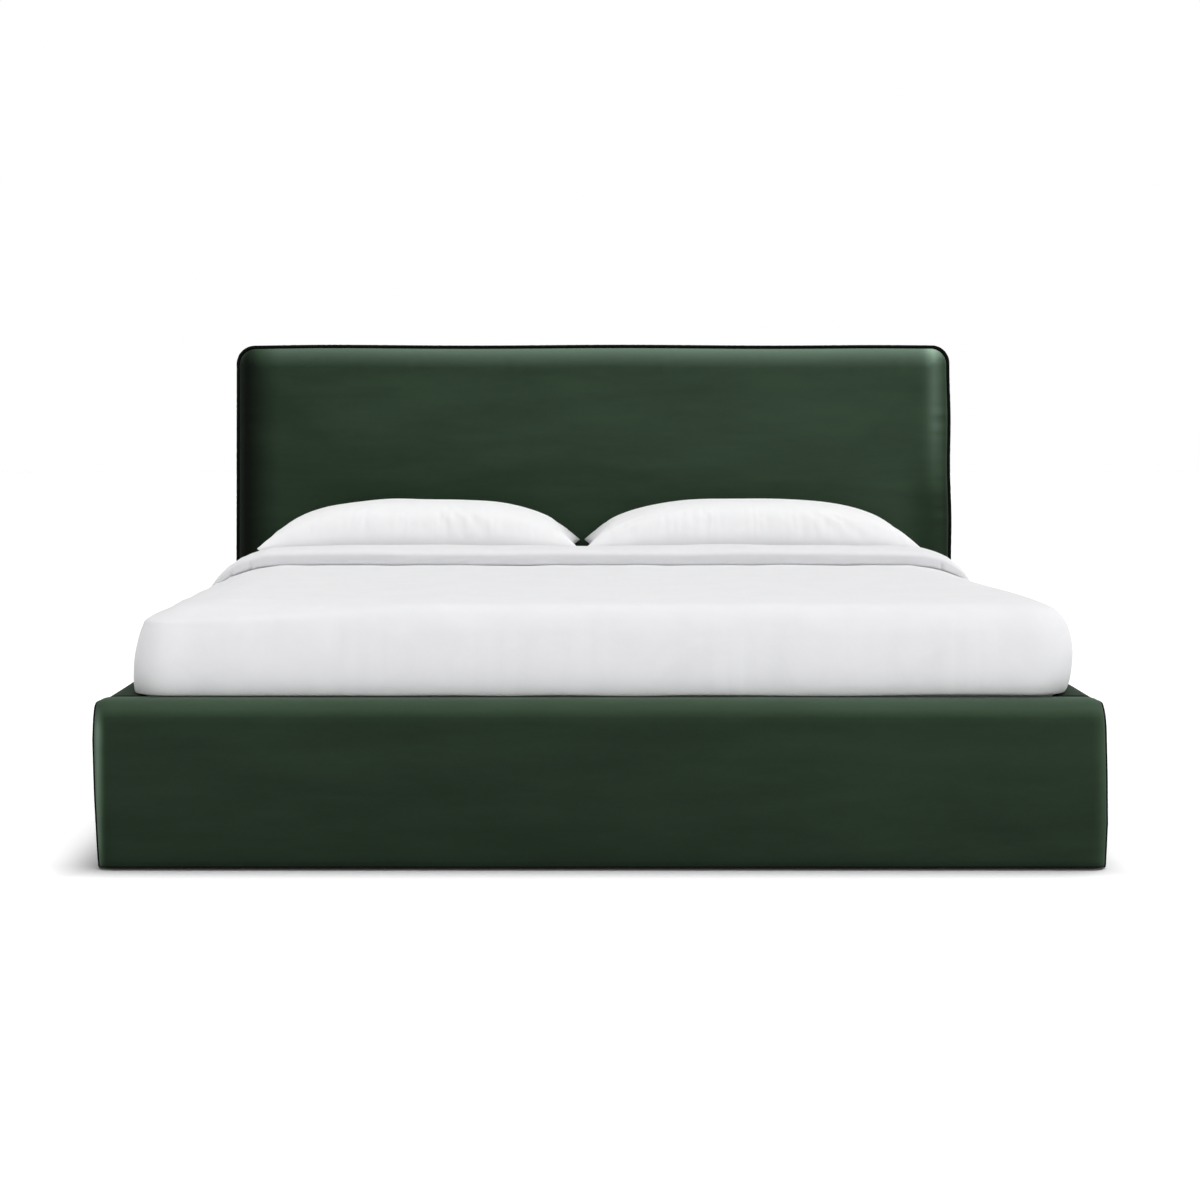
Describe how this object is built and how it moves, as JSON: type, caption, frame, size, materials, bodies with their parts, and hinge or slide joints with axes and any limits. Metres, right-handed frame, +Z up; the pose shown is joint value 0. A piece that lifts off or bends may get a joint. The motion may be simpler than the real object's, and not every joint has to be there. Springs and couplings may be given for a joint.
{
  "type": "upholstered headboard bed",
  "caption": "King bed with a velvet padded headboard and padded rails round a slatted base, with mattress, tucked-in duvet and pillows.",
  "frame": {"origin": "on the floor, in the middle of the bed's length and width", "axes": "+Z up, +Y from the foot of the bed towards the headboard, +X to the right as seen from the foot of the bed"},
  "size_m": [2.13, 2.252, 1.155],
  "materials": {
    "velvet": "short-pile woven velvet",
    "dust_cover": "spun-bonded lining",
    "foam": "open-cell polyurethane foam",
    "pine": "sawn and planed softwood",
    "plywood": "sanded plywood",
    "beech": "turned and sealed",
    "steel": "black powder coat",
    "zinc": "bright zinc plate",
    "moulded_plastic": "moulded",
    "mattress_filling": "pocket springs and foam",
    "ticking": "knitted and quilted ticking",
    "sheet_cotton": "percale cotton",
    "duvet_cotton": "percale cotton over fibre filling",
    "pillow_filling": "fibre filling in a cotton case",
    "pillowcase_cotton": "percale cotton"
  },
  "bodies": {
    "frame": {"headboard_front_cover": "velvet", "headboard_border_cover": "velvet", "headboard_piping": "velvet", "side_rail_cover_left": "velvet", "side_rail_cover_right": "velvet", "foot_rail_cover": "velvet", "headboard_back_cover": "dust_cover", "headboard_foam": "foam", "side_rail_foam_left": "foam", "side_rail_foam_right": "foam", "foot_rail_foam": "foam", "headboard_post_left": "pine", "headboard_post_right": "pine", "headboard_top_rail": "pine", "headboard_middle_rail": "pine", "headboard_bottom_rail": "pine", "side_rail_board_left": "pine", "side_rail_board_right": "pine", "foot_rail_board": "pine", "slat_ledger_left": "pine", "slat_ledger_right": "pine", "head_crossbar": "pine", "centre_beam": "pine", "slat_01": "pine", "slat_02": "pine", "slat_03": "pine", "slat_04": "pine", "slat_05": "pine", "slat_06": "pine", "slat_07": "pine", "slat_08": "pine", "slat_09": "pine", "slat_10": "pine", "slat_11": "pine", "slat_12": "pine", "headboard_front_panel": "plywood", "headboard_back_panel": "plywood", "centre_leg_1": "beech", "centre_leg_2": "beech", "centre_leg_3": "beech", "corner_brackets": "steel", "beam_brackets": "steel", "rail_hook_left": "steel", "rail_hook_right": "steel", "hook_receivers": "steel", "frame_bolts": "zinc", "slat_screws": "zinc", "glides": "moulded_plastic"},
    "mattress": {"mattress_core": "mattress_filling", "mattress_cover": "ticking", "fitted_sheet": "sheet_cotton"},
    "duvet": {"duvet": "duvet_cotton"},
    "pillow_left": {"pillow_left": "pillow_filling", "pillowcase_left": "pillowcase_cotton"},
    "pillow_right": {"pillow_right": "pillow_filling", "pillowcase_right": "pillowcase_cotton"},
    "levelling_foot_1": {"levelling_foot_1": "moulded_plastic"},
    "levelling_foot_2": {"levelling_foot_2": "moulded_plastic"},
    "levelling_foot_3": {"levelling_foot_3": "moulded_plastic"}
  },
  "joints": [
    {"name": "mattress_lift", "type": "slide", "parent": "frame", "child": "mattress", "axis": [0, 0, 1], "range_m": [0, 0.35]},
    {"name": "duvet_lift", "type": "slide", "parent": "mattress", "child": "duvet", "axis": [0, 0, 1], "range_m": [0, 0.4]},
    {"name": "pillow_left_lift", "type": "slide", "parent": "mattress", "child": "pillow_left", "axis": [0, 0, 1], "range_m": [0, 0.4]},
    {"name": "pillow_right_lift", "type": "slide", "parent": "mattress", "child": "pillow_right", "axis": [0, 0, 1], "range_m": [0, 0.4]},
    {"name": "levelling_foot_1_screw", "type": "slide", "parent": "frame", "child": "levelling_foot_1", "axis": [0, 0, 1], "range_m": [-0.02, 0]},
    {"name": "levelling_foot_2_screw", "type": "slide", "parent": "frame", "child": "levelling_foot_2", "axis": [0, 0, 1], "range_m": [-0.02, 0]},
    {"name": "levelling_foot_3_screw", "type": "slide", "parent": "frame", "child": "levelling_foot_3", "axis": [0, 0, 1], "range_m": [-0.02, 0]}
  ]
}
